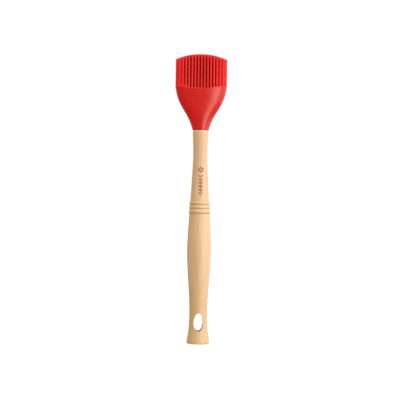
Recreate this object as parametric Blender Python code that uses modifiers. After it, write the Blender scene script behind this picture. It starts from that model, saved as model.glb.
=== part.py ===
"""Pastry brush: a turned beech handle and a pull-off silicone head with seven rows of bristles.

Metres, +Z up the brush, origin at the centre of the handle's flat foot, broad side of the head facing -Y.
Run with: blender --background --python part.py
"""

import math

import bmesh
import bpy
from mathutils import Matrix, Vector

MM = 0.001
GAP = 0.3 * MM  # left between pieces that touch
OVERLAP = 0.5 * MM  # how far pieces that are joined, or cutters, run past each other

# Handle: heights above the foot, radii, and the slope of the outline at each turn
SHOULDER_Z = 196.5 * MM
FOOT_EDGE_RADIUS = 0.9 * MM
FOOT_RADIUS = 10.6 * MM
HANDLE_TURNS = (
    (FOOT_EDGE_RADIUS, FOOT_RADIUS, -0.16),
    (12.0 * MM, 9.0 * MM, -0.11),
    (28.0 * MM, 8.2 * MM, 0.0),
    (86.0 * MM, 11.0 * MM, 0.0),
    (126.0 * MM, 8.95 * MM, -0.065),
    (156.0 * MM, 7.22 * MM, -0.052),
    (174.5 * MM, 6.5 * MM, 0.0),
    (SHOULDER_Z, 7.1 * MM, 0.0),
)
WAIST_TURN, BELLY_TURN = 2, 3  # places in that list
BEAD_EDGES = (119.8 * MM, 124.1 * MM, 127.8 * MM, 131.6 * MM)
BEAD_PROUD = 0.55 * MM
BEAD_SAG = 1.6  # above 1, a bead is fullest below its middle
HANDLE_SIDES = 36
TENON_RADIUS = 4.6 * MM
TENON_LENGTH = 28.0 * MM
TENON_CHAMFER = 0.8 * MM

# Hanging hole, through the handle along Y
HOLE_Z = 19.8 * MM
HOLE_HALF_WIDTH = 4.3 * MM
HOLE_HALF_HEIGHT = 8.3 * MM
HOLE_FLARE = 1.15  # at the surface, over the width inside
HOLE_FLARE_START = 6.0 * MM
HOLE_SIDES = 24

# Silicone head: a funnel that widens from the round neck to a flat, round-cornered rim
NECK_RADIUS = 7.5 * MM
HEAD_START_Z = SHOULDER_Z + GAP
RIM_Z = 232.6 * MM
WIDEST_Z = 238.0 * MM  # where the outline would end if it ran on up the outer bristles
WIDEST_HALF_WIDTH = 23.8 * MM
NECK_PULL, NECK_FLARE = 18.3 * MM, 0.25  # reach and slope of the outline's curve handle at the neck
RIM_PULL, RIM_FLARE = 21.4 * MM, 0.1  # and at the rim
RIM_HALF_DEPTH = 9.2 * MM
RIM_CORNER = 4.0 * MM
FUNNEL_STEPS = 12
CORNER_STEPS = 5

# Socket: the head's bore, and the stiff insert that lines it and takes the tenon
BORE_RADIUS = 6.3 * MM
BORE_DEPTH = 30.4 * MM
CORE_BASE_RADIUS = 5.5 * MM
CORE_RIB_COUNT = 4
CORE_WALL_TOP = 1.2 * MM
CORE_SIDES = 24

# Bristles: rows along X, every second row shifted by half a pitch
BRISTLE_COUNTS = (15, 16, 17, 16, 17, 16, 15)
BRISTLE_PITCH = 2.845 * MM
ROW_PITCH = 2.7 * MM
BRISTLE_ROOT_RADIUS = 0.95 * MM
BRISTLE_TIP_RADIUS = 0.85 * MM
BRISTLE_TIP_ROUND = 0.7 * MM
BRISTLE_SIDES = 8
TOP_Z = 267.0 * MM
TIP_ARC_ACROSS = 59.0 * MM  # radius of the arc that the tips follow along X
TIP_ARC_THROUGH = 20.0 * MM  # and along Y
ROOT_BAR_HALF = 1.1 * MM
ROOT_BAR_RISE = 1.2 * MM  # of its top over the bending axis
ROOT_BAR_ROUND_STEPS = 5
BEND_Z = RIM_Z + GAP + ROOT_BAR_HALF


def clear_scene():
    for item in list(bpy.data.objects):
        bpy.data.objects.remove(item, do_unlink=True)


def new_collection(name):
    collection = bpy.data.collections.new(name)
    bpy.context.scene.collection.children.link(collection)
    return collection


def material(name, colour, roughness):
    result = bpy.data.materials.new(name)
    result.use_nodes = True
    shader = result.node_tree.nodes["Principled BSDF"]
    shader.inputs["Base Color"].default_value = (*colour, 1.0)
    shader.inputs["Roughness"].default_value = roughness
    shader.inputs["Metallic"].default_value = 0.0
    return result


def mesh_from(shape, name):
    """Turn a bmesh into a mesh and free it."""
    bmesh.ops.recalc_face_normals(shape, faces=shape.faces)
    mesh = bpy.data.meshes.new(name)
    shape.to_mesh(mesh)
    shape.free()
    return mesh


def add_object(name, mesh, collection, location=(0, 0, 0), parent=None, look=None):
    item = bpy.data.objects.new(name, mesh)
    collection.objects.link(item)
    item.location = location
    item.parent = parent
    if look:
        mesh.materials.append(look)
    return item


def shade(item, angle=math.radians(35)):
    item.data.shade_smooth()
    item.data.set_sharp_from_angle(angle=angle)


def screw(item, sides):
    """Turn the object's profile about its Z axis."""
    turned = item.modifiers.new("turned", "SCREW")
    turned.angle = 2 * math.pi
    turned.steps = sides
    turned.render_steps = sides
    turned.use_merge_vertices = True
    turned.merge_threshold = 0.00001


def cut(item, cutter):
    boolean = item.modifiers.new("cut", "BOOLEAN")
    boolean.operation = "DIFFERENCE"
    boolean.solver = "EXACT"
    boolean.object = cutter


def hide_cutter(item):
    item.hide_render = True
    item.display_type = "WIRE"


def profile_mesh(name, points):
    """Open outline in the XZ plane, from the top of a turned shape down its outer side."""
    mesh = bpy.data.meshes.new(name)
    corners = [(radius, 0.0, height) for radius, height in points]
    edges = [(i, i + 1) for i in range(len(corners) - 1)]
    mesh.from_pydata(corners, edges, [])
    return mesh


def hermite(start, end, height):
    """Radius between two turns of an outline, each (height, radius, slope)."""
    span = end[0] - start[0]
    t = (height - start[0]) / span
    rise = (1 + 2 * t) * (1 - t) ** 2 * start[1] + t * t * (3 - 2 * t) * end[1]
    lean = t * (1 - t) ** 2 * start[2] + t * t * (t - 1) * end[2]
    return rise + span * lean


def handle_radius(height):
    """Radius of the handle without its beads."""
    for start, end in zip(HANDLE_TURNS, HANDLE_TURNS[1:]):
        if height <= end[0]:
            return hermite(start, end, height)
    return HANDLE_TURNS[-1][1]


def bead_points():
    """Outline of the three beads, from the lowest up."""
    steps = 5
    points = []
    for low, high in zip(BEAD_EDGES, BEAD_EDGES[1:]):
        for i in range(steps):
            height = low + (high - low) * i / steps
            down = 1 - i / steps
            swell = BEAD_PROUD * math.sin(math.pi * down**BEAD_SAG)
            points.append((handle_radius(height) + swell, height))
    points.append((handle_radius(BEAD_EDGES[-1]), BEAD_EDGES[-1]))
    return points


def plain_points(low, high, steps):
    """Outline between two heights, leaving out the upper one."""
    heights = [low + (high - low) * i / steps for i in range(steps)]
    return [(handle_radius(height), height) for height in heights]


def foot_points():
    """Flat foot and the quarter round of its edge."""
    steps = 3
    flat = FOOT_RADIUS - FOOT_EDGE_RADIUS
    points = [(0.0, 0.0)]
    for i in range(steps):
        turn = math.pi / 2 * i / steps
        points.append((flat + FOOT_EDGE_RADIUS * math.sin(turn), FOOT_EDGE_RADIUS * (1 - math.cos(turn))))
    return points


def tenon_points():
    top = SHOULDER_Z + TENON_LENGTH
    return [
        (HANDLE_TURNS[-1][1], SHOULDER_Z),
        (TENON_RADIUS, SHOULDER_Z),
        (TENON_RADIUS, top - TENON_CHAMFER),
        (TENON_RADIUS - TENON_CHAMFER, top),
        (0.0, top),
    ]


def handle_outline():
    points = foot_points()
    waist, belly = HANDLE_TURNS[WAIST_TURN][0], HANDLE_TURNS[BELLY_TURN][0]
    points += plain_points(FOOT_EDGE_RADIUS, waist, 9)
    points += plain_points(waist, belly, 10)
    points += plain_points(belly, BEAD_EDGES[0], 6)
    points += bead_points()
    points += plain_points(BEAD_EDGES[-1], SHOULDER_Z, 12)[1:]
    points += tenon_points()
    return points[::-1]


def hole_cutter(collection):
    """Spool that lies along Y: an oval hole, a little wider where it meets the surface."""
    reach = FOOT_RADIUS + OVERLAP
    flare = HOLE_HALF_WIDTH * HOLE_FLARE
    points = [
        (0.0, reach),
        (flare, reach),
        (HOLE_HALF_WIDTH, HOLE_FLARE_START),
        (HOLE_HALF_WIDTH, -HOLE_FLARE_START),
        (flare, -reach),
        (0.0, -reach),
    ]
    cutter = add_object("hole_cutter", profile_mesh("hole_cutter", points), collection, (0, 0, HOLE_Z))
    cutter.rotation_euler = (math.pi / 2, 0, 0)
    cutter.scale = (1, HOLE_HALF_HEIGHT / HOLE_HALF_WIDTH, 1)
    screw(cutter, HOLE_SIDES)
    hide_cutter(cutter)
    return cutter


def build_handle(parts, cutters, look):
    handle = add_object("handle", profile_mesh("handle", handle_outline()), parts, look=look)
    screw(handle, HANDLE_SIDES)
    cut(handle, hole_cutter(cutters))
    shade(handle)


def funnel_half_width(height):
    """Half width of the head, a smooth curve from the neck out to the rim."""
    heights = (HEAD_START_Z, HEAD_START_Z + NECK_PULL, WIDEST_Z - RIM_PULL, WIDEST_Z)
    widths = (
        NECK_RADIUS,
        NECK_RADIUS + NECK_FLARE * NECK_PULL,
        WIDEST_HALF_WIDTH - RIM_FLARE * RIM_PULL,
        WIDEST_HALF_WIDTH,
    )

    def bezier(values, t):
        weights = ((1 - t) ** 3, 3 * t * (1 - t) ** 2, 3 * t * t * (1 - t), t**3)
        return sum(weight * value for weight, value in zip(weights, values))

    low, high = 0.0, 1.0
    for _ in range(30):
        middle = (low + high) / 2
        if bezier(heights, middle) < height:
            low = middle
        else:
            high = middle
    return bezier(widths, low)


def funnel_section(height):
    """Half width, half depth and corner radius of the head at one height."""
    share = (height - HEAD_START_Z) / (RIM_Z - HEAD_START_Z)
    ease = share * share * (3 - 2 * share)
    half_width = funnel_half_width(height)
    half_depth = NECK_RADIUS + (RIM_HALF_DEPTH - NECK_RADIUS) * ease
    corner = half_depth + (RIM_CORNER - half_depth) * ease
    return half_width, half_depth, min(corner, half_width, half_depth)


def section_ring(shape, height):
    """Closed ring of vertices round the head: four corner arcs joined by straight sides."""
    half_width, half_depth, corner = funnel_section(height)
    ring = []
    for quarter in range(4):
        for i in range(CORNER_STEPS + 1):
            turn = math.pi / 2 * (quarter + i / CORNER_STEPS)
            side_x = 1 if quarter in (0, 3) else -1
            side_y = 1 if quarter in (0, 1) else -1
            x = side_x * (half_width - corner) + corner * math.cos(turn)
            y = side_y * (half_depth - corner) + corner * math.sin(turn)
            ring.append(shape.verts.new((x, y, height - HEAD_START_Z)))
    return ring


def shell_mesh():
    """Loft from the round neck to the oblong rim, whose sections no primitive shares."""
    shape = bmesh.new()
    heights = [HEAD_START_Z + (RIM_Z - HEAD_START_Z) * i / FUNNEL_STEPS for i in range(FUNNEL_STEPS + 1)]
    rings = [section_ring(shape, height) for height in heights]
    for lower, upper in zip(rings, rings[1:]):
        for i in range(len(lower)):
            j = (i + 1) % len(lower)
            shape.faces.new((lower[i], lower[j], upper[j], upper[i]))
    shape.faces.new(rings[0])
    shape.faces.new(rings[-1])
    bmesh.ops.remove_doubles(shape, verts=shape.verts, dist=0.00001)
    return mesh_from(shape, "head_shell")


def bore_cutter(collection, parent):
    shape = bmesh.new()
    bmesh.ops.create_cone(
        shape,
        cap_ends=True,
        segments=CORE_SIDES,
        radius1=BORE_RADIUS,
        radius2=BORE_RADIUS,
        depth=BORE_DEPTH + OVERLAP,
        matrix=Matrix.Translation((0, 0, (BORE_DEPTH - OVERLAP) / 2)),
    )
    cutter = add_object("bore_cutter", mesh_from(shape, "bore_cutter"), collection, parent=parent)
    hide_cutter(cutter)
    return cutter


def build_shell(parts, cutters, head, look):
    shell = add_object("head_shell", shell_mesh(), parts, parent=head, look=look)
    cut(shell, bore_cutter(cutters, head))
    shade(shell)


def core_outline():
    """Cup with locking ribs outside, open at the bottom, from its crown down the outside and up the inside."""
    outer = BORE_RADIUS - GAP
    inner = TENON_RADIUS + GAP
    top = BORE_DEPTH - GAP
    rib = top / (2 * CORE_RIB_COUNT)
    points = [(0.0, top)]
    for i in range(CORE_RIB_COUNT):
        high = top - 2 * i * rib
        points += [(outer, high), (outer, high - rib)]
        points += [(CORE_BASE_RADIUS, high - rib), (CORE_BASE_RADIUS, high - 2 * rib)]
    points += [(inner, 0.0), (inner, top - CORE_WALL_TOP), (0.0, top - CORE_WALL_TOP)]
    return points


def build_core(parts, head, look):
    core = add_object("socket_core", profile_mesh("socket_core", core_outline()), parts, parent=head, look=look)
    screw(core, CORE_SIDES)
    shade(core)


def tip_height(x, y):
    """Height of the domed brush end over a point."""
    across = TIP_ARC_ACROSS - math.sqrt(TIP_ARC_ACROSS**2 - x * x)
    through = TIP_ARC_THROUGH - math.sqrt(TIP_ARC_THROUGH**2 - y * y)
    return TOP_Z - across - through


def add_bristle(shape, x, length):
    """Tapered rod with a rounded tip, standing in the row's root bar."""
    made = bmesh.ops.create_cone(
        shape,
        cap_ends=True,
        segments=BRISTLE_SIDES,
        radius1=BRISTLE_ROOT_RADIUS,
        radius2=BRISTLE_TIP_RADIUS,
        depth=length,
        matrix=Matrix.Translation((x, 0, length / 2)),
    )
    rim = {edge for vert in made["verts"] for edge in vert.link_edges}
    tip = [edge for edge in rim if min(vert.co.z for vert in edge.verts) > length - OVERLAP / 10]
    bmesh.ops.bevel(shape, geom=tip, offset=BRISTLE_TIP_ROUND, segments=2, affect="EDGES", profile=0.5)


def bristle_mesh(name, places, y):
    shape = bmesh.new()
    for x in places:
        add_bristle(shape, x, tip_height(x, y) - BEND_Z)
    return mesh_from(shape, name)


def bar_mesh(name, half_length):
    """Bar along X whose round underside turns about the bending axis."""
    shape = bmesh.new()
    bmesh.ops.create_cube(shape, size=1.0)
    height = ROOT_BAR_HALF + ROOT_BAR_RISE
    bmesh.ops.scale(shape, verts=shape.verts, vec=(2 * half_length, 2 * ROOT_BAR_HALF, height))
    bmesh.ops.translate(shape, verts=shape.verts, vec=(0, 0, height / 2 - ROOT_BAR_HALF))
    under = [
        edge
        for edge in shape.edges
        if all(vert.co.z < 0 for vert in edge.verts) and abs(edge.verts[0].co.x - edge.verts[1].co.x) > half_length
    ]
    bmesh.ops.bevel(
        shape,
        geom=under,
        offset=0.98 * ROOT_BAR_HALF,
        segments=ROOT_BAR_ROUND_STEPS,
        affect="EDGES",
        profile=0.5,
    )
    return mesh_from(shape, name)


def build_row(index, count, parts, cutters, head, look):
    name = f"bristle_row_{index + 1}"
    y = (index - (len(BRISTLE_COUNTS) - 1) / 2) * ROW_PITCH
    places = [(i - (count - 1) / 2) * BRISTLE_PITCH for i in range(count)]
    location = Vector((0, y, BEND_Z - HEAD_START_Z))
    half_length = places[-1] + BRISTLE_ROOT_RADIUS / 2
    row = add_object(name, bar_mesh(name, half_length), parts, location, head, look)
    bristles_name = f"bristles_{index + 1}"
    bristles = add_object(bristles_name, bristle_mesh(bristles_name, places, y), cutters, location, head)
    hide_cutter(bristles)
    joined = row.modifiers.new("bristles", "BOOLEAN")
    joined.operation = "UNION"
    joined.solver = "EXACT"
    joined.object = bristles
    shade(row)


def main():
    clear_scene()
    parts = new_collection("pastry_brush")
    cutters = new_collection("cutters")
    beech = material("beech", (0.73, 0.46, 0.22), 0.55)
    silicone = material("silicone", (0.61, 0.02, 0.02), 0.38)
    nylon = material("nylon", (0.75, 0.72, 0.65), 0.45)
    head = add_object("head_frame", None, parts, (0, 0, HEAD_START_Z))
    build_handle(parts, cutters, beech)
    build_shell(parts, cutters, head, silicone)
    build_core(parts, head, nylon)
    for index, count in enumerate(BRISTLE_COUNTS):
        build_row(index, count, parts, cutters, head, silicone)


main()
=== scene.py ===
import math
import random

import bmesh
import bpy
from mathutils import Matrix, Vector


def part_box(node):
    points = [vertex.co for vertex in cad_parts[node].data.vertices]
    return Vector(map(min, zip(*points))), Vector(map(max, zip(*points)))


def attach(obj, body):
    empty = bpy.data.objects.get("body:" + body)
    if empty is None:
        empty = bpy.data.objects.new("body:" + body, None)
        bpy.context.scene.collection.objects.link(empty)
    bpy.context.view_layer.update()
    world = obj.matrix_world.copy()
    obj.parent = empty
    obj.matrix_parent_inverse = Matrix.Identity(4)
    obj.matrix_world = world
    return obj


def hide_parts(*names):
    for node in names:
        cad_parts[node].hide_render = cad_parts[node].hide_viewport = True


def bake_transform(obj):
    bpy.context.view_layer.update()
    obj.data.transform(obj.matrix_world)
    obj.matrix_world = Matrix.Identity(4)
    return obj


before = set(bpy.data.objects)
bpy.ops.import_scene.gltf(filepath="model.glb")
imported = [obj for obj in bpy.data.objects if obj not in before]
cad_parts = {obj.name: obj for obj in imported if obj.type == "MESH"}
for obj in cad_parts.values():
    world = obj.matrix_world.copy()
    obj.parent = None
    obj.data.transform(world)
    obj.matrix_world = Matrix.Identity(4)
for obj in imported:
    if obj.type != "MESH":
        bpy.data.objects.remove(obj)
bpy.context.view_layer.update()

MM = 0.001
GAP = 0.3 * MM  # that the CAD keeps between touching pieces
rng = random.Random(7)

# ---------------------------------------------------------------- places, from the CAD's parts

handle_low, handle_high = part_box("handle")
shell_low, shell_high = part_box("head_shell")
core_low, core_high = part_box("socket_core")
ROWS = sorted(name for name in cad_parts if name.startswith("bristle_row_"))
ROW_BOXES = [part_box(name) for name in ROWS]

SHOULDER_Z = shell_low.z - GAP
HEAD_START_Z = shell_low.z
FLOOR_Z = shell_high.z  # of the CAD head, under the bristles' roots
TOP_Z = max(high.z for _, high in ROW_BOXES)
HALF_WIDTH = max(high.x for _, high in ROW_BOXES)
HALF_DEPTH = shell_high.y

# ---------------------------------------------------------------- handle sizes that repeat the CAD's

FOOT_EDGE_RADIUS = 0.9 * MM
FOOT_RADIUS = 10.6 * MM
HANDLE_TURNS = (  # height, radius and slope where the handle's outline turns
    (FOOT_EDGE_RADIUS, FOOT_RADIUS, -0.16),
    (12.0 * MM, 9.0 * MM, -0.11),
    (28.0 * MM, 8.2 * MM, 0.0),
    (86.0 * MM, 11.0 * MM, 0.0),
    (126.0 * MM, 8.95 * MM, -0.065),
    (156.0 * MM, 7.22 * MM, -0.052),
    (174.5 * MM, 6.5 * MM, 0.0),
    (SHOULDER_Z, 7.1 * MM, 0.0),
)
BEADS = (  # lower edge, upper edge, how far it stands out
    (119.8 * MM, 124.1 * MM, 0.6 * MM),
    (124.1 * MM, 127.8 * MM, 0.5 * MM),
    (127.8 * MM, 131.6 * MM, 0.55 * MM),
)
TENON_RADIUS = 4.6 * MM
TENON_CHAMFER = 0.8 * MM
HOLE_Z = 19.8 * MM
HOLE_HALF_WIDTH = 4.3 * MM
HOLE_HALF_HEIGHT = 8.3 * MM

# ---------------------------------------------------------------- handle details that only the visual has

HANDLE_SIDES = 144
FOOT_RINGS = (2.5 * MM, 5.0 * MM, 7.5 * MM)  # radii of the rings across the flat underside
HANDLE_STEP = 0.9 * MM  # between rings where the outline is calm
BEAD_STEP = 0.14 * MM
GROOVE_STEP = 0.15 * MM
COLLAR_STEP = 0.2 * MM
TENON_STEP = 3.0 * MM
BEAD_SAG = 1.6  # above 1 puts a bead's fullest part below its middle
BEAD_BLUNTNESS = 0.6  # below 1 makes a bead blunter than half a sine wave

COLLAR_GROOVE_Z = SHOULDER_Z - 2.6 * MM
COLLAR_GROOVE_HALF = 0.3 * MM
COLLAR_GROOVE_DEPTH = 0.12 * MM
COLLAR_ROUND_HEIGHT = 1.8 * MM  # the collar's top edge is softened over this height
COLLAR_ROUNDING = 0.22 * MM
SHOULDER_EDGE = 0.3 * MM
TENON_FILLET = 0.15 * MM

HOLE_SIDES = 72
HOLE_STEPS = 14  # at each end of the hole
HOLE_STRAIGHT = 5.9 * MM  # half length over which the hole's size is even
HOLE_REACH = 11.5 * MM  # half length of the cutter, past the handle's surface
HOLE_FLARE = 0.022 * MM  # widening 1 mm past the even part; it grows with the square of the way
HOLE_NARROWING = 0.08  # makes the oval an egg, narrower by this share towards its top

EMBLEM_X = 0.4 * MM
FLOWER_Z = 160.2 * MM
PETALS = 6
PETAL_OUT = 1.85 * MM  # from the flower's heart to a petal's middle
PETAL_LENGTH, PETAL_WIDTH = 2.7 * MM, 1.5 * MM
STEM_TOP_Z = FLOWER_Z - 3.6 * MM
STEM_FOOT_Z = FLOWER_Z - 25.4 * MM
STEM_WIDTH = 0.8 * MM
LEAF_PAIRS = 6
LEAF_START, LEAF_PITCH = 2.2 * MM, 3.2 * MM  # below the stem's top
LEAF_OUT = 1.15 * MM
LEAF_LENGTH, LEAF_WIDTH = 3.0 * MM, 1.15 * MM
LEAF_LEAN = 28  # degrees
BURN_DEPTH = 0.22 * MM
BURN_CUTTER_PROUD = 0.6 * MM

DEEPER_BELOW_Z = 70.0 * MM  # the wood's colour is deeper below this
DEEPER_FADE = 45.0 * MM
DEEPER_AT_FOOT = 0.5
# Painted shade: the wood's colour deepens in the collar's groove, between the beads, on each bead's lower
# side and inside the hole.
COLLAR_SHADE, COLLAR_SHADE_REACH = 0.4, 0.35 * MM
GROOVE_SHADE, GROOVE_SHADE_REACH = 0.9, 0.45 * MM
UNDERSIDE_SHADE = 0.75  # of the painted shade on the lower side of each bead
UNDERSIDE_TOP, UNDERSIDE_FADE = 0.5, 0.2  # shares of a bead's height where it ends, and fades before
HOLE_SHADE_REACH = 11.0 * MM  # up and down from the hole's middle
HOLE_SHADE_FADE = 0.8 * MM  # under the handle's surface
LIT_RING_HEIGHT = 1.0 * MM  # of the painted highlight, a pale ring on the collar's top edge under the head
LIT_RING_FADE = 0.2 * MM
TENON_START_Z = SHOULDER_Z + 0.5 * MM
TENON_BARENESS = 0.35

# ---------------------------------------------------------------- head and insert

NECK_RADIUS = 7.5 * MM
BORE_RADIUS = 6.3 * MM
BORE_DEPTH = 30.4 * MM
WIDEST_Z = 238.0 * MM
WIDEST_HALF_WIDTH = 23.8 * MM
NECK_PULL, NECK_FLARE = 18.3 * MM, 0.25  # how far up the outline keeps the neck's slope, and the slope
RIM_PULL, RIM_FLARE = 21.4 * MM, 0.1  # and the same down from its widest place
ROUND_SQUARENESS = 2  # superellipse exponent of the head's section at the neck, a circle
RIM_SQUARENESS = 2.4  # and at the rim

RIM_LOW_Z = 235.1 * MM  # the rim where it dips, in the middle
RIM_RISE = 2.2 * MM  # and how much higher it is at the sides
RIM_DIP = (6.5 * MM, 19.5 * MM)  # half widths between which it rises
RIM_EDGE = 0.25 * MM  # height of the rim's soft edge
RIM_INSETS = (  # how far in and how far down each ring of the soft edge lies
    (0.1 * MM, 0.07 * MM),
    (0.3 * MM, 0.0 * MM),
    (0.7 * MM, 0.05 * MM),
    (1.1 * MM, 0.3 * MM),
    (1.5 * MM, 0.35 * MM),
)
HEAD_SIDES = 256
HEAD_STEPS = 46
LIP_GAP = 0.06 * MM  # between the wooden shoulder and the silicone's soft lip
LIP_RADIUS = 0.2 * MM
PARTING_HEIGHT = 0.07 * MM
PARTING_WIDTH = 0.22 * MM
PARTING_FADE = 3.0 * MM  # above the neck

CORE_SIDES = 64
CORE_RIBS = 4
CORE_VALLEY_RADIUS = 5.5 * MM  # between the ribs
CORE_END = 1.2 * MM  # thickness of the insert's closed end
CORE_CHAMFER = 0.4 * MM
CORE_RIB_EDGE = 0.1 * MM

# ---------------------------------------------------------------- bristles

BRISTLE_COUNTS = (15, 16, 17, 16, 17, 16, 15)
BRISTLE_PITCH = 2.845 * MM
BRISTLE_ROOT_RADIUS = 0.93 * MM
BRISTLE_TIP_RADIUS = 0.85 * MM
BRISTLE_SIDES = 16
BRISTLE_STEP = 1.6 * MM
ROOT_SINK = 0.4 * MM  # of a bristle's foot below the rim
ROOT_RINGS = (-1.0 * MM, 0.0 * MM, 0.15 * MM, 0.35 * MM, 0.7 * MM)  # heights above that foot
SHAFT_START = 1.5 * MM
ROOT_FILLET, ROOT_FILLET_HEIGHT = 0.1 * MM, 0.25 * MM
TIP_RINGS = (20, 40, 58, 74, 84)  # degrees up the round tip
TIP_DRIFT = 0.06 * MM  # that a tip may stand off its place
TIP_SHORTFALL = 0.03 * MM  # that a tip may lack in height
TIP_ARC_ACROSS = 59.0 * MM
TIP_ARC_THROUGH = 20.0 * MM
PAINTED_SHADE_START, PAINTED_SHADE_SPAN = 0.93, 0.25  # shares of the tuft's half width where the painted shade starts and grows
PAINTED_SHADE_FADE = 5.0 * MM  # and the painted shade fades out over this height at the tips

# ---------------------------------------------------------------- colours, linear

BEECH_PALE = (0.68, 0.395, 0.155)
BEECH_STREAK = (0.60, 0.31, 0.098)
BEECH_BAND = (0.70, 0.415, 0.17)
BEECH_FLECK = (0.46, 0.235, 0.085)
BEECH_PORE = (0.38, 0.20, 0.09)
# the deeper colour towards the foot, and painted shade in grooves, under beads and inside the hole
BEECH_DEEP_AND_SHADE = (0.52, 0.29, 0.055)
# painted highlight on the collar's top edge under the head, and the bare tenon's colour
BEECH_BARE_AND_LIT = (0.85, 0.72, 0.52)
BURNT_DARK = (0.36, 0.135, 0.03)
BURNT_PALE = (0.48, 0.21, 0.055)
HEAD_RED = (0.68, 0.004, 0.003)
# painted light: a lighter copy of the head's red, standing in for light passing through the thin bristles
BRISTLE_LIT_RED = (0.97, 0.03, 0.024)
# painted shade inside the tuft of bristles
PAINTED_SHADE_RED = (0.36, 0.002, 0.002)
SILICONE_GLINT = (1.0, 0.9, 0.74, 1.0)
NYLON_PALE = (0.74, 0.71, 0.62)
NYLON_DULL = (0.66, 0.62, 0.52)

# ---------------------------------------------------------------- picture

CAMERA_DISTANCE = 1.2
CAMERA_AZIMUTH = math.radians(-2.0)  # from the brush's front, to the left
VIEW_HEIGHT = 0.3691  # of the world that the square picture takes in at the brush
VIEW_MIDDLE = Vector((0.3 * MM, 0, 132.3 * MM))
BRUSH_LEAN = math.radians(0.76)  # in the picture
SENSOR = 36.0  # mm, the unit of the lens too

FLOOR_SIZE = 20.0
FLOOR_DROP = 0.05 * MM
FLOOR_GLOW = 0.97
FILL = 0.97  # radiance of the light from all round
FILL_SLOPE = (0.34, 0, 0.5)  # how much it grows to the right and upwards
KEY_AZIMUTH = math.radians(34)  # from the brush's front, to the right
KEY_RISE = 0.2
KEY_DISTANCE = 3

# ---------------------------------------------------------------- helpers


def clamp(share):
    return min(1.0, max(0.0, share))


def eased(share):
    """The same share with a gentle start and end."""
    return share * share * (3 - 2 * share)


def link(name, mesh, look):
    """Put a mesh into the scene with its material."""
    piece = bpy.data.objects.new(name, mesh)
    bpy.context.scene.collection.objects.link(piece)
    mesh.materials.append(look)
    return piece


def smooth(mesh, degrees):
    """Shade smooth, with the edges that bend more than this left sharp."""
    mesh.shade_smooth()
    mesh.set_sharp_from_angle(angle=math.radians(degrees))


def skin(shape, rings, close_start=True, close_end=True):
    """Quads between rings of equally many points; each wanted end is closed by a fan."""
    loops = [[shape.verts.new(point) for point in ring] for ring in rings]
    count = len(loops[0])
    for lower, upper in zip(loops, loops[1:]):
        for i in range(count):
            j = (i + 1) % count
            shape.faces.new((lower[i], lower[j], upper[j], upper[i]))
    for loop, wanted in ((loops[0], close_start), (loops[-1], close_end)):
        if wanted:
            middle = shape.verts.new(sum((vert.co for vert in loop), Vector()) / count)
            for i in range(count):
                shape.faces.new((loop[(i + 1) % count], loop[i], middle))
    return loops


def finish_mesh(shape, name, degrees=32):
    """Turn a shape into a mesh whose faces look outwards."""
    bmesh.ops.recalc_face_normals(shape, faces=shape.faces)
    mesh = bpy.data.meshes.new(name)
    shape.to_mesh(mesh)
    shape.free()
    smooth(mesh, degrees)
    return mesh


def circle(radius, height, count):
    turns = [2 * math.pi * i / count for i in range(count)]
    return [(radius * math.cos(turn), radius * math.sin(turn), height) for turn in turns]


def turned(name, outline, count):
    """Closed surface of revolution about Z from an outline of (radius, height) points."""
    shape = bmesh.new()
    skin(shape, [circle(radius, height, count) for radius, height in outline])
    return finish_mesh(shape, name)


def cut(piece, cutter):
    """Cut one closed mesh out of another, the cut faces taking the cutter's material."""
    boolean = piece.modifiers.new("cut", "BOOLEAN")
    boolean.operation = "DIFFERENCE"
    boolean.solver = "EXACT"
    boolean.material_mode = "TRANSFER"
    boolean.object = cutter
    bpy.context.view_layer.update()
    evaluated = piece.evaluated_get(bpy.context.evaluated_depsgraph_get())
    mesh = bpy.data.meshes.new_from_object(evaluated)
    piece.modifiers.clear()
    piece.data = mesh
    bpy.data.objects.remove(cutter, do_unlink=True)


def arc(centre_radius, centre_z, radius, start, end, steps):
    """Points of an arc in an outline; angles are in degrees, from outwards towards up."""
    points = []
    for i in range(steps + 1):
        turn = math.radians(start + (end - start) * i / steps)
        points.append((centre_radius + radius * math.cos(turn), centre_z + radius * math.sin(turn)))
    return points


# ---------------------------------------------------------------- material helpers


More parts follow.
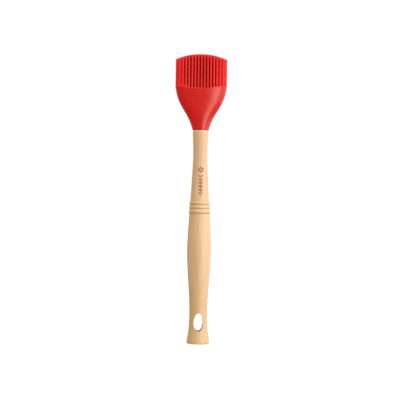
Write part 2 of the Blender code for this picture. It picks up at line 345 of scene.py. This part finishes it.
class Nodes:
    """A material's node tree with short calls for the nodes used here."""

    def __init__(self, name):
        self.material = bpy.data.materials.new(name)
        self.material.use_nodes = True
        self.tree = self.material.node_tree
        self.shader = self.tree.nodes["Principled BSDF"]
        self.position = self.add("ShaderNodeTexCoord").outputs["Object"]

    def add(self, kind, **settings):
        node = self.tree.nodes.new(kind)
        for key, value in settings.items():
            setattr(node, key, value)
        return node

    def join(self, source, target):
        self.tree.links.new(source, target)

    def stretched(self, x, y, z):
        """The position scaled along each axis, which gives a noise so many lumps per metre."""
        mapping = self.add("ShaderNodeMapping")
        mapping.inputs["Scale"].default_value = (x, y, z)
        self.join(self.position, mapping.inputs["Vector"])
        return mapping.outputs["Vector"]

    def noise(self, vector, detail=3.0, roughness=0.5, distortion=0.0):
        node = self.add("ShaderNodeTexNoise")
        node.inputs["Scale"].default_value = 1.0
        node.inputs["Detail"].default_value = detail
        node.inputs["Roughness"].default_value = roughness
        node.inputs["Distortion"].default_value = distortion
        self.join(vector, node.inputs["Vector"])
        return node.outputs["Fac"]

    def ramp(self, value, low, high, to_low=0.0, to_high=1.0):
        node = self.add("ShaderNodeMapRange", clamp=True)
        node.inputs["From Min"].default_value = low
        node.inputs["From Max"].default_value = high
        node.inputs["To Min"].default_value = to_low
        node.inputs["To Max"].default_value = to_high
        self.join(value, node.inputs["Value"])
        return node.outputs["Result"]

    def mix(self, share, first, second):
        """Mix two colours, each a socket or three numbers, by a socket."""
        node = self.add("ShaderNodeMix", data_type="RGBA")
        for value, key in ((first, "A"), (second, "B")):
            socket = next(s for s in node.inputs if s.name == key and s.type == "RGBA")
            if isinstance(value, tuple):
                socket.default_value = (*value, 1.0)
            else:
                self.join(value, socket)
        self.join(share, next(s for s in node.inputs if s.name == "Factor" and s.type == "VALUE"))
        return next(s for s in node.outputs if s.type == "RGBA")

    def bump(self, height, distance, strength=1.0, below=None):
        node = self.add("ShaderNodeBump")
        node.inputs["Distance"].default_value = distance
        node.inputs["Strength"].default_value = strength
        self.join(height, node.inputs["Height"])
        if below:
            self.join(below, node.inputs["Normal"])
        return node.outputs["Normal"]

    def attribute(self, name):
        """A value that paint or a bristle row stored on each vertex."""
        return self.add("ShaderNodeAttribute", attribute_name=name).outputs["Fac"]

    def set(self, **values):
        """Set the shader's inputs, each to a socket or a constant."""
        for key, value in values.items():
            socket = self.shader.inputs[key.replace("_", " ").title().replace("Ior", "IOR")]
            if isinstance(value, bpy.types.NodeSocket):
                self.join(value, socket)
            else:
                socket.default_value = value


def beech_material():
    """Oiled turned beech: pale tan with darker growth streaks, short ray flecks and lathe lines."""
    n = Nodes("beech")
    streaks = n.noise(n.stretched(420, 420, 9), detail=5, roughness=0.6, distortion=0.3)
    bands = n.noise(n.stretched(90, 90, 5), detail=2)
    flecks = n.noise(n.stretched(2300, 2300, 330), detail=1)
    pores = n.noise(n.stretched(5200, 5200, 420), detail=1)
    colour = n.mix(n.ramp(streaks, 0.42, 0.58), BEECH_PALE, BEECH_STREAK)
    colour = n.mix(n.ramp(bands, 0.4, 0.6, to_high=0.6), colour, BEECH_BAND)
    colour = n.mix(n.ramp(flecks, 0.66, 0.76, to_high=0.5), colour, BEECH_FLECK)
    colour = n.mix(n.ramp(pores, 0.68, 0.8, to_high=0.35), colour, BEECH_PORE)
    # Deeper colour towards the foot, and painted shade in grooves, under beads and inside the hole.
    colour = n.mix(n.attribute("depth"), colour, BEECH_DEEP_AND_SHADE)
    # Painted highlight on the collar's top edge under the head; the bare tenon is paler too.
    colour = n.mix(n.attribute("bare"), colour, BEECH_BARE_AND_LIT)
    lathe = n.noise(n.stretched(4, 4, 2600), detail=2)
    normal = n.bump(lathe, 0.03 * MM, 0.5)
    normal = n.bump(streaks, 0.06 * MM, 0.5, normal)
    normal = n.bump(n.ramp(pores, 0.62, 0.8, to_low=1.0, to_high=0.0), 0.08 * MM, 0.6, normal)
    n.set(
        base_color=colour,
        roughness=n.ramp(streaks, 0.3, 0.7, to_low=0.62, to_high=0.7),
        normal=normal,
        specular_ior_level=1.0,
    )
    return n.material


def burnt_material():
    """Branded wood: dark brown, mottled, lighter where the iron pressed less."""
    n = Nodes("burnt_beech")
    mottle = n.noise(n.stretched(1600, 1600, 700), detail=4, roughness=0.65)
    n.set(
        base_color=n.mix(n.ramp(mottle, 0.35, 0.65), BURNT_DARK, BURNT_PALE),
        roughness=0.75,
        normal=n.bump(mottle, 0.08 * MM),
        specular_ior_level=0.2,
    )
    return n.material


def silicone_material(name, colour, roughness, specular, deep=None):
    """Satin silicone with a very fine moulded texture, and a painted shade, a deeper colour, where bristles
    shade each other.
    """
    n = Nodes(name)
    cloud = n.noise(n.stretched(60, 60, 60), detail=3)
    texture = n.noise(n.stretched(1400, 1400, 1400), detail=3)
    wipe = n.noise(n.stretched(260, 260, 120), detail=4, roughness=0.6)
    cloudy = tuple(0.9 * value for value in colour)
    surface = n.mix(n.ramp(cloud, 0.35, 0.65), colour, cloudy)
    # painted shade where the bristles shade each other
    if deep:
        surface = n.mix(n.attribute("painted_shade"), surface, deep)
    uneven = 0.03
    n.set(
        base_color=surface,
        roughness=n.ramp(wipe, 0.3, 0.7, to_low=roughness - uneven, to_high=roughness + uneven),
        normal=n.bump(texture, 0.03 * MM, 0.15),
        specular_tint=SILICONE_GLINT,
        specular_ior_level=specular,
        ior=1.45,
    )
    return n.material


def nylon_material():
    """Natural nylon: warm white, slightly cloudy, with a dull moulded surface."""
    n = Nodes("nylon")
    cloud = n.noise(n.stretched(180, 180, 180), detail=3)
    texture = n.noise(n.stretched(2500, 2500, 2500), detail=2)
    n.set(
        base_color=n.mix(n.ramp(cloud, 0.35, 0.65), NYLON_PALE, NYLON_DULL),
        roughness=n.ramp(cloud, 0.3, 0.7, to_low=0.42, to_high=0.55),
        normal=n.bump(texture, 0.04 * MM, 0.5),
        subsurface_weight=0.15,
        subsurface_radius=(1.0, 0.9, 0.7),
        subsurface_scale=MM,
    )
    return n.material


# ---------------------------------------------------------------- handle


def hermite(start, end, height):
    """The radius at a height between two turns of the outline."""
    low, low_radius, low_slope = start
    high, high_radius, high_slope = end
    span = high - low
    share = (height - low) / span
    from_ends = (1 - eased(share)) * low_radius + eased(share) * high_radius
    from_slopes = share * (1 - share) ** 2 * low_slope + share * share * (share - 1) * high_slope
    return from_ends + span * from_slopes


def plain_radius(height):
    """The handle's radius without beads and grooves; above the shoulder it stays the shoulder's."""
    for start, end in zip(HANDLE_TURNS, HANDLE_TURNS[1:]):
        if height <= end[0]:
            return hermite(start, end, height)
    return HANDLE_TURNS[-1][1]


def bead_swell(height):
    """How far a bead stands out: sharp grooves between beads that are fullest low down."""
    for low, high, proud in BEADS:
        if low <= height <= high:
            down = (high - height) / (high - low)
            return proud * max(0.0, math.sin(math.pi * down**BEAD_SAG)) ** BEAD_BLUNTNESS
    return 0.0


def handle_radius(height):
    """The radius with its beads, the collar's groove and the collar's softened top."""
    off = abs(height - COLLAR_GROOVE_Z)
    nick = COLLAR_GROOVE_DEPTH * max(0.0, 1 - off / COLLAR_GROOVE_HALF)
    rounded = max(0.0, 1 - (SHOULDER_Z - height) / COLLAR_ROUND_HEIGHT)
    return plain_radius(height) + bead_swell(height) - nick - COLLAR_ROUNDING * rounded * rounded


def spread(low, high, step):
    """Heights from low up to, and without, high."""
    count = max(1, round((high - low) / step))
    return [low + (high - low) * i / count for i in range(count)]


def handle_heights():
    """Heights of the handle's rings, closer together where the outline has detail."""
    bead_low, bead_high = BEADS[0][0], BEADS[-1][1]
    groove_low = COLLAR_GROOVE_Z - COLLAR_GROOVE_HALF
    groove_high = COLLAR_GROOVE_Z + COLLAR_GROOVE_HALF
    heights = spread(FOOT_EDGE_RADIUS, bead_low, HANDLE_STEP)
    for low, high, _ in BEADS:
        heights += spread(low, high, BEAD_STEP)
    heights += spread(bead_high, groove_low, HANDLE_STEP)
    heights += spread(groove_low, groove_high, GROOVE_STEP)
    heights += spread(groove_high, SHOULDER_Z - SHOULDER_EDGE, COLLAR_STEP)
    return heights


def handle_outline():
    """Points of radius and height from the underside's middle up to the tenon's end."""
    points = [(radius, 0.0) for radius in FOOT_RINGS]
    points += arc(FOOT_RADIUS - FOOT_EDGE_RADIUS, FOOT_EDGE_RADIUS, FOOT_EDGE_RADIUS, -90, -12, 6)
    points += [(handle_radius(height), height) for height in handle_heights()]
    edge_radius = handle_radius(SHOULDER_Z) - SHOULDER_EDGE
    points += arc(edge_radius, SHOULDER_Z - SHOULDER_EDGE, SHOULDER_EDGE, 0, 90, 4)
    points += [(TENON_RADIUS + TENON_FILLET, SHOULDER_Z), (TENON_RADIUS, SHOULDER_Z + TENON_FILLET)]
    top = handle_high.z
    chamfer_z = top - TENON_CHAMFER
    points += [(TENON_RADIUS, height) for height in spread(SHOULDER_Z + MM, chamfer_z, TENON_STEP)]
    points += [(TENON_RADIUS, chamfer_z), (TENON_RADIUS - TENON_CHAMFER, top), (TENON_RADIUS / 2, top)]
    return points


def hole_cutter(look):
    """Oval spool along Y, narrower towards its top, that widens where it meets the surface."""
    ends = HOLE_REACH - HOLE_STRAIGHT
    steps = [i / HOLE_STEPS for i in range(HOLE_STEPS + 1)]
    depths = [-HOLE_STRAIGHT - ends * (1 - step) for step in steps]
    depths += [HOLE_STRAIGHT + ends * step for step in steps]
    rings = []
    for depth in depths:
        past_straight = max(0.0, abs(depth) - HOLE_STRAIGHT) / MM
        flare = HOLE_FLARE * past_straight * past_straight
        ring = []
        for i in range(HOLE_SIDES):
            turn = 2 * math.pi * i / HOLE_SIDES
            narrow = 1 - HOLE_NARROWING * math.sin(turn)
            x = (HOLE_HALF_WIDTH + flare) * narrow * math.cos(turn)
            z = (HOLE_HALF_HEIGHT + flare) * math.sin(turn)
            ring.append((x, depth, HOLE_Z + z))
        rings.append(ring)
    shape = bmesh.new()
    skin(shape, rings)
    return link("hole_cutter", finish_mesh(shape, "hole_cutter"), look)


def grain_outline(x, z, length, width, lean):
    """Pointed oval in the XZ plane, leaning from upright by an angle in degrees."""
    steps = 7
    side = [math.sin(math.pi * i / steps) * width / 2 for i in range(steps + 1)]
    along = [length * (i / steps - 0.5) for i in range(steps + 1)]
    right = list(zip(side, along))
    left = [(-across, up) for across, up in right[-2:0:-1]]
    angle = math.radians(lean)
    cos, sin = math.cos(angle), math.sin(angle)
    return [(x + across * cos + up * sin, z - across * sin + up * cos) for across, up in right + left]


def flower_outlines():
    """A six-petalled flower on a leafy stem: the sign burnt into the handle."""
    outlines = []
    for petal in range(PETALS):
        lean = petal * 360 / PETALS
        turn = math.radians(lean)
        x = EMBLEM_X + PETAL_OUT * math.sin(turn)
        z = FLOWER_Z + PETAL_OUT * math.cos(turn)
        outlines.append(grain_outline(x, z, PETAL_LENGTH, PETAL_WIDTH, lean))
    stem_z = (STEM_TOP_Z + STEM_FOOT_Z) / 2
    outlines.append(grain_outline(EMBLEM_X, stem_z, STEM_TOP_Z - STEM_FOOT_Z, STEM_WIDTH, 0))
    for pair in range(LEAF_PAIRS):
        z = STEM_TOP_Z - LEAF_START - LEAF_PITCH * pair
        for side in (-1, 1):
            x = EMBLEM_X + side * LEAF_OUT
            outlines.append(grain_outline(x, z, LEAF_LENGTH, LEAF_WIDTH, side * LEAF_LEAN))
    return outlines


def burn_cutter(look):
    """Closed prisms that sink a set depth into the round handle's front."""
    shape = bmesh.new()
    for outline in flower_outlines():
        front = [(x, -plain_radius(z) - BURN_CUTTER_PROUD, z) for x, z in outline]
        back = []
        for x, z in outline:
            radius = plain_radius(z) - BURN_DEPTH
            back.append((x, -math.sqrt(radius * radius - x * x), z))
        skin(shape, [front, back])
    return link("burn_cutter", finish_mesh(shape, "burn_cutter"), look)


def deeper_colour_and_painted_shade(point):
    """How much deeper the wood's colour is: more so towards the foot, and painted shade in the collar's
    groove, between the beads, on each bead's lower side and inside the hole.
    """
    height = point.z
    shade = DEEPER_AT_FOOT * clamp((DEEPER_BELOW_Z - height) / DEEPER_FADE)
    shade = max(shade, COLLAR_SHADE * (1 - abs(height - COLLAR_GROOVE_Z) / COLLAR_SHADE_REACH))
    for low, high, _ in BEADS:
        near = min(abs(height - low), abs(height - high))
        shade = max(shade, GROOVE_SHADE * (1 - near / GROOVE_SHADE_REACH))
        if low <= height <= high:
            up = (height - low) / (high - low)
            shade = max(shade, UNDERSIDE_SHADE * min(1.0, (UNDERSIDE_TOP - up) / UNDERSIDE_FADE))
    if abs(height - HOLE_Z) < HOLE_SHADE_REACH:
        inside = plain_radius(height) - math.hypot(point.x, point.y)
        shade = max(shade, min(1.0, inside / HOLE_SHADE_FADE))
    return shade


def bare_and_lit_share(point):
    """How pale the wood is: fully in a painted highlight on the collar's top edge just under the head, and
    less so on the bare tenon.
    """
    if point.z > TENON_START_Z:
        return TENON_BARENESS
    return clamp((point.z - (SHOULDER_Z - LIT_RING_HEIGHT)) / LIT_RING_FADE)


def paint(mesh, name, value_at):
    """Store a value for each vertex, which a material reads."""
    attribute = mesh.attributes.new(name, "FLOAT", "POINT")
    attribute.data.foreach_set("value", [value_at(vert.co) for vert in mesh.vertices])


def build_handle(beech, burnt):
    handle = link("handle_wood", turned("handle_wood", handle_outline(), HANDLE_SIDES), beech)
    cut(handle, hole_cutter(beech))
    cut(handle, burn_cutter(burnt))
    smooth(handle.data, degrees=30)
    # deeper colour towards the foot, and painted shade in grooves, under beads and inside the hole
    paint(handle.data, "depth", deeper_colour_and_painted_shade)
    # painted highlight on the collar's top edge under the head, and the bare tenon
    paint(handle.data, "bare", bare_and_lit_share)
    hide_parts("handle")
    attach(handle, "handle")


# ---------------------------------------------------------------- silicone head


def bezier(values, share):
    """A cubic curve's value, its four controls given."""
    rest = 1 - share
    weights = (rest**3, 3 * share * rest**2, 3 * share * share * rest, share**3)
    return sum(weight * value for weight, value in zip(weights, values))


def funnel_half_width(height):
    """The curve's half width where it reaches a height, found by halving."""
    heights = (HEAD_START_Z, HEAD_START_Z + NECK_PULL, WIDEST_Z - RIM_PULL, WIDEST_Z)
    widths = (
        NECK_RADIUS,
        NECK_RADIUS + NECK_FLARE * NECK_PULL,
        WIDEST_HALF_WIDTH - RIM_FLARE * RIM_PULL,
        WIDEST_HALF_WIDTH,
    )
    low, high = 0.0, 1.0
    for _ in range(30):
        middle = (low + high) / 2
        if bezier(heights, middle) < height:
            low = middle
        else:
            high = middle
    return bezier(widths, low)


def funnel_section(height):
    """Half width, half depth and squareness of the head's section."""
    share = eased(clamp((height - HEAD_START_Z) / (FLOOR_Z - HEAD_START_Z)))
    half_depth = NECK_RADIUS + (HALF_DEPTH - NECK_RADIUS) * share
    squareness = ROUND_SQUARENESS + (RIM_SQUARENESS - ROUND_SQUARENESS) * share
    return funnel_half_width(height), half_depth, squareness


def section_point(height, turn):
    """Where the head's outside is at a height and an angle about Z."""
    half_width, half_depth, power = funnel_section(height)
    cos, sin = math.cos(turn), math.sin(turn)
    reach = (abs(cos) ** power + abs(sin) ** power) ** (-1 / power)
    return half_width * reach * cos, half_depth * reach * sin


def rim_height(x):
    """The rim dips in the middle and is level near the sides."""
    start, end = RIM_DIP
    return RIM_LOW_Z + RIM_RISE * eased(clamp((abs(x) - start) / (end - start)))


def parting_ridge(turn, height):
    """The thin raised line that the mould's two halves leave down each side."""
    off = abs(math.sin(turn)) * HALF_DEPTH
    fade = min(1.0, (height - HEAD_START_Z) / PARTING_FADE)
    return PARTING_HEIGHT * fade * math.exp(-((off / PARTING_WIDTH) ** 2))


def head_rings():
    """From the bore's closed end, down to the neck's lip, then up the outside to the rim."""
    turns = [2 * math.pi * i / HEAD_SIDES for i in range(HEAD_SIDES)]
    lip_z = SHOULDER_Z + LIP_GAP
    outside_z = lip_z + LIP_RADIUS
    bore_top = HEAD_START_Z + BORE_DEPTH
    rings = [circle(BORE_RADIUS, height, HEAD_SIDES) for height in (bore_top, bore_top - MM, outside_z)]
    rings.append(circle(BORE_RADIUS + LIP_RADIUS / 2, lip_z, HEAD_SIDES))
    for radius, height in arc(NECK_RADIUS - LIP_RADIUS, outside_z, LIP_RADIUS, -90, 0, 5):
        rings.append(circle(radius, height, HEAD_SIDES))
    rims = [rim_height(section_point(RIM_LOW_Z, turn)[0]) for turn in turns]
    for step in range(1, HEAD_STEPS + 1):
        ring = []
        for turn, rim in zip(turns, rims):
            height = outside_z + (rim - RIM_EDGE - outside_z) * step / HEAD_STEPS
            x, y = section_point(height, turn)
            grow = 1 + parting_ridge(turn, height) / math.hypot(x, y)
            ring.append((x * grow, y * grow, height))
        rings.append(ring)
    for inset, drop in RIM_INSETS:
        ring = []
        for turn, rim in zip(turns, rims):
            x, y = section_point(rim, turn)
            shrink = 1 - inset / math.hypot(x, y)
            ring.append((x * shrink, y * shrink, rim - drop))
        rings.append(ring)
    return rings


def head_mesh():
    """The head, its top closed by strips from front to back that follow the dipping rim."""
    shape = bmesh.new()
    loops = skin(shape, head_rings(), close_end=False)
    top = loops[-1]
    half = HEAD_SIDES // 2
    for i in range(1, half - 1):
        shape.faces.new((top[i], top[i + 1], top[-i - 1], top[-i]))
    shape.faces.new((top[0], top[1], top[-1]))
    shape.faces.new((top[half], top[half + 1], top[half - 1]))
    return finish_mesh(shape, "head_silicone", 40)


def build_head(silicone):
    head = link("head_silicone", head_mesh(), silicone)
    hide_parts("head_shell")
    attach(head, "head")


def core_outline():
    """Points of radius and height from the bore's closed end, round the mouth, up over the ribs."""
    outer, inner = core_high.x, TENON_RADIUS + GAP
    low, high = core_low.z, core_high.z
    half_chamfer = CORE_CHAMFER / 2
    points = [(inner / 2, high - CORE_END), (inner, high - CORE_END), (inner, low + CORE_CHAMFER)]
    points += [(inner + CORE_CHAMFER, low), (CORE_VALLEY_RADIUS - half_chamfer, low)]
    points.append((CORE_VALLEY_RADIUS, low + half_chamfer))
    rib = (high - low) / (2 * CORE_RIBS)
    for i in range(CORE_RIBS):
        foot = low + (2 * i + 1) * rib
        points += [(CORE_VALLEY_RADIUS, foot), (outer - CORE_RIB_EDGE, foot), (outer, foot + CORE_RIB_EDGE)]
        points += [(outer, foot + rib - CORE_RIB_EDGE), (outer - CORE_RIB_EDGE, foot + rib)]
        if i < CORE_RIBS - 1:
            points.append((CORE_VALLEY_RADIUS, foot + rib))
    points.append((outer / 2, high))
    return points


def build_core(nylon):
    core = link("socket_insert", turned("socket_insert", core_outline(), CORE_SIDES), nylon)
    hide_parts("socket_core")
    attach(core, "head")


# ---------------------------------------------------------------- bristles


def squeeze(x):
    """How much nearer the middle a row stands at x, following the head's rounded outline."""
    return (1 - min(1.0, abs(x) / HALF_WIDTH) ** RIM_SQUARENESS) ** (1 / RIM_SQUARENESS)


def tip_height(x, y):
    """The tips follow one arc across the tuft and a tighter one through it."""
    across = TIP_ARC_ACROSS - math.sqrt(TIP_ARC_ACROSS**2 - x * x)
    through = TIP_ARC_THROUGH - math.sqrt(TIP_ARC_THROUGH**2 - y * y)
    return TOP_Z - across - through


def bristle_rings(x, y, tip):
    """One tapered bristle with a small fillet at its root and a rounded tip."""
    floor = rim_height(x) - ROOT_SINK
    place = Vector((x, y))
    drift = Vector((rng.uniform(-TIP_DRIFT, TIP_DRIFT), rng.uniform(-TIP_DRIFT, TIP_DRIFT)))
    body_top = tip - BRISTLE_TIP_RADIUS
    heights = [floor + rise for rise in ROOT_RINGS]
    heights += spread(floor + SHAFT_START, body_top, BRISTLE_STEP) + [body_top]
    stations = []
    for height in heights:
        share = max(0.0, (height - floor) / (body_top - floor))
        radius = BRISTLE_ROOT_RADIUS + (BRISTLE_TIP_RADIUS - BRISTLE_ROOT_RADIUS) * share
        radius += ROOT_FILLET * math.exp(-max(0.0, height - floor) / ROOT_FILLET_HEIGHT)
        stations.append((place + drift * share * share, radius, height))
    for angle in TIP_RINGS:
        turn = math.radians(angle)
        radius = BRISTLE_TIP_RADIUS * math.cos(turn)
        height = body_top + BRISTLE_TIP_RADIUS * math.sin(turn)
        stations.append((place + drift, radius, height))
    rings = []
    for centre, radius, height in stations:
        points = circle(radius, height, BRISTLE_SIDES)
        rings.append([(centre.x + across, centre.y + through, up) for across, through, up in points])
    return rings


def painted_shade(x, y):
    """Painted shade, from 0 for a bristle at the tuft's outside to 1 for one well inside it."""
    power = RIM_SQUARENESS
    reach = ((abs(x) / HALF_WIDTH) ** power + (abs(y) / HALF_DEPTH) ** power) ** (1 / power)
    return clamp((PAINTED_SHADE_START - reach) / PAINTED_SHADE_SPAN)


def build_row(index, look):
    """One row of bristles, each tip drifting a little off its place."""
    low, high = ROW_BOXES[index]
    row_y = (low.y + high.y) / 2
    count = BRISTLE_COUNTS[index]
    shape = bmesh.new()
    painted_shade_layer = shape.verts.layers.float.new("painted_shade")
    for i in range(count):
        x = (i - (count - 1) / 2) * BRISTLE_PITCH
        y = row_y * squeeze(x)
        start = len(shape.verts)
        tip = tip_height(x, row_y) - rng.uniform(0, TIP_SHORTFALL)
        skin(shape, bristle_rings(x, y, tip))
        shape.verts.ensure_lookup_table()
        for vert in shape.verts[start:]:
            # painted shade, fading out towards the tips
            below_tip = min(1.0, (TOP_Z - vert.co.z) / PAINTED_SHADE_FADE)
            vert[painted_shade_layer] = painted_shade(x, row_y) * below_tip
    name = f"bristles_{index + 1}"
    row = link(name, finish_mesh(shape, name, 60), look)
    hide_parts(ROWS[index])
    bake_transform(row)


# ---------------------------------------------------------------- floor, light and camera


def white_floor():
    """A white ground that glows enough to stay white, and lights nothing."""
    material = bpy.data.materials.new("white_floor")
    material.use_nodes = True
    shader = material.node_tree.nodes["Principled BSDF"]
    shader.inputs["Base Color"].default_value = (0.1, 0.1, 0.1, 1)
    shader.inputs["Roughness"].default_value = 1.0
    shader.inputs["Specular IOR Level"].default_value = 0.0
    shader.inputs["Emission Color"].default_value = (1, 1, 1, 1)
    shader.inputs["Emission Strength"].default_value = FLOOR_GLOW
    shape = bmesh.new()
    bmesh.ops.create_grid(shape, x_segments=8, y_segments=8, size=FLOOR_SIZE)
    floor = link("studio_floor", finish_mesh(shape, "studio_floor"), material)
    floor.location.z = handle_low.z - FLOOR_DROP
    floor.visible_diffuse = False
    floor.visible_glossy = False
    floor.visible_shadow = False


def studio_world():
    """Even light from all round, a little more from above and the right, seen as plain white."""
    world = bpy.data.worlds.new("studio")
    world.use_nodes = True
    tree = world.node_tree
    tree.nodes.clear()
    way = tree.nodes.new("ShaderNodeTexCoord")
    slope = tree.nodes.new("ShaderNodeVectorMath")
    slope.operation = "DOT_PRODUCT"
    slope.inputs[1].default_value = FILL_SLOPE
    radiance = tree.nodes.new("ShaderNodeMath")
    radiance.inputs[1].default_value = FILL
    light = tree.nodes.new("ShaderNodeBackground")
    white = tree.nodes.new("ShaderNodeBackground")
    path = tree.nodes.new("ShaderNodeLightPath")
    mix = tree.nodes.new("ShaderNodeMixShader")
    out = tree.nodes.new("ShaderNodeOutputWorld")
    tree.links.new(way.outputs["Generated"], slope.inputs[0])
    tree.links.new(slope.outputs["Value"], radiance.inputs[0])
    tree.links.new(radiance.outputs["Value"], light.inputs["Strength"])
    tree.links.new(path.outputs["Is Camera Ray"], mix.inputs["Fac"])
    tree.links.new(light.outputs["Background"], mix.inputs[1])
    tree.links.new(white.outputs["Background"], mix.inputs[2])
    tree.links.new(mix.outputs["Shader"], out.inputs["Surface"])
    light.inputs["Color"].default_value = (1, 1, 1, 1)
    white.inputs["Color"].default_value = (1, 1, 1, 1)
    world.cycles.sampling_method = "NONE"
    bpy.context.scene.world = world


def soft_panel(name, place, target, width, height, radiance):
    """A rectangular softbox of an even radiance, which shows only in reflections."""
    light = bpy.data.lights.new(name, "AREA")
    light.shape = "RECTANGLE"
    light.size = width
    light.size_y = height
    light.energy = radiance * math.pi * width * height
    lamp = bpy.data.objects.new(name, light)
    bpy.context.scene.collection.objects.link(lamp)
    lamp.location = place
    lamp.rotation_euler = (target - place).to_track_quat("-Z", "Y").to_euler()
    lamp.visible_camera = False
    lamp.visible_diffuse = False


def studio_lights():
    key_place = KEY_DISTANCE * Vector((math.sin(KEY_AZIMUTH), -math.cos(KEY_AZIMUTH), KEY_RISE))
    soft_panel("key", key_place, Vector(), width=1.5, height=2.9, radiance=9.5)
    wall_place, wall_target = Vector((3, -0.5, 0.5)), Vector((0, -0.5, 0.5))
    soft_panel("right_wall", wall_place, wall_target, width=4.5, height=2.9, radiance=2.6)
    middle = Vector((0, 0, (handle_low.z + TOP_Z) / 2))
    soft_panel("high_front", Vector((0, -0.9, 1.4)), middle, width=1.6, height=0.9, radiance=6.0)


def photo_camera():
    """The photo's view: from far in front, a touch to the left, and rolled by the brush's lean."""
    camera = bpy.data.cameras.new("camera")
    camera.sensor_width = SENSOR
    camera.lens = SENSOR * CAMERA_DISTANCE / VIEW_HEIGHT
    holder = bpy.data.objects.new("camera", camera)
    bpy.context.scene.collection.objects.link(holder)
    back = Vector((math.sin(CAMERA_AZIMUTH), -math.cos(CAMERA_AZIMUTH), 0))
    holder.location = VIEW_MIDDLE + back * CAMERA_DISTANCE
    aim = (-back).to_track_quat("-Z", "Y").to_matrix().to_4x4()
    holder.rotation_euler = (aim @ Matrix.Rotation(BRUSH_LEAN, 4, "Z")).to_euler()
    bpy.context.scene.camera = holder


# ---------------------------------------------------------------- build

photo_camera()
white_floor()
studio_world()
studio_lights()
bpy.context.scene.view_settings.view_transform = "Standard"

head_look = silicone_material("silicone_head", HEAD_RED, 0.28, 0.28)
# the bristles' lighter red is painted light through the thin silicone
bristle_look = silicone_material("silicone_bristles", BRISTLE_LIT_RED, 0.4, 0.09, PAINTED_SHADE_RED)

build_handle(beech_material(), burnt_material())
build_head(head_look)
build_core(nylon_material())
for row_index in range(len(ROWS)):
    build_row(row_index, bristle_look)
